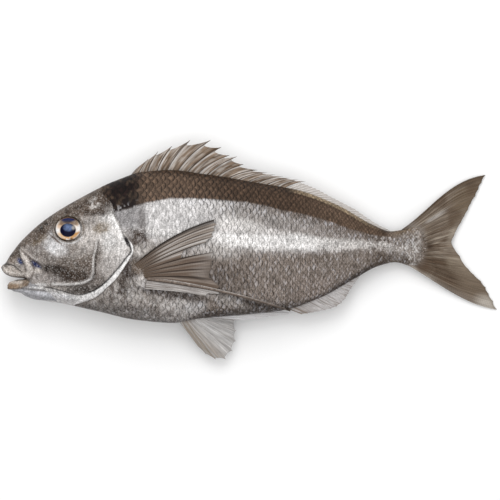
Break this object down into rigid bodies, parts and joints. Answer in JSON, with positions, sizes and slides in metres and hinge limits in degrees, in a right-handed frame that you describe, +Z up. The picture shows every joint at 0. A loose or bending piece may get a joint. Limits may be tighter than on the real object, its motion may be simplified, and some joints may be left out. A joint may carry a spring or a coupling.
{
  "type": "whole raw fish",
  "caption": "Whole raw sea fish lying on its side, silver flank and dark back, with its head, eyes, gill covers and all its fins in place.",
  "frame": {"origin": "centre of the fish's bounding box at the height of the table it lies on", "axes": "+X from the snout to the tail, +Y from the belly to the back, +Z up from the table through the left flank"},
  "size_m": [0.398, 0.176, 0.0532],
  "materials": {
    "skin": "wet silver scales, dark brown along the back, tan and translucent on the fins",
    "eye": "wet and clear, a dark blue pupil in a pale golden ring"
  },
  "bodies": {
    "root": {"fish": "skin", "eye_left": "eye", "eye_right": "eye"}
  },
  "joints": []
}
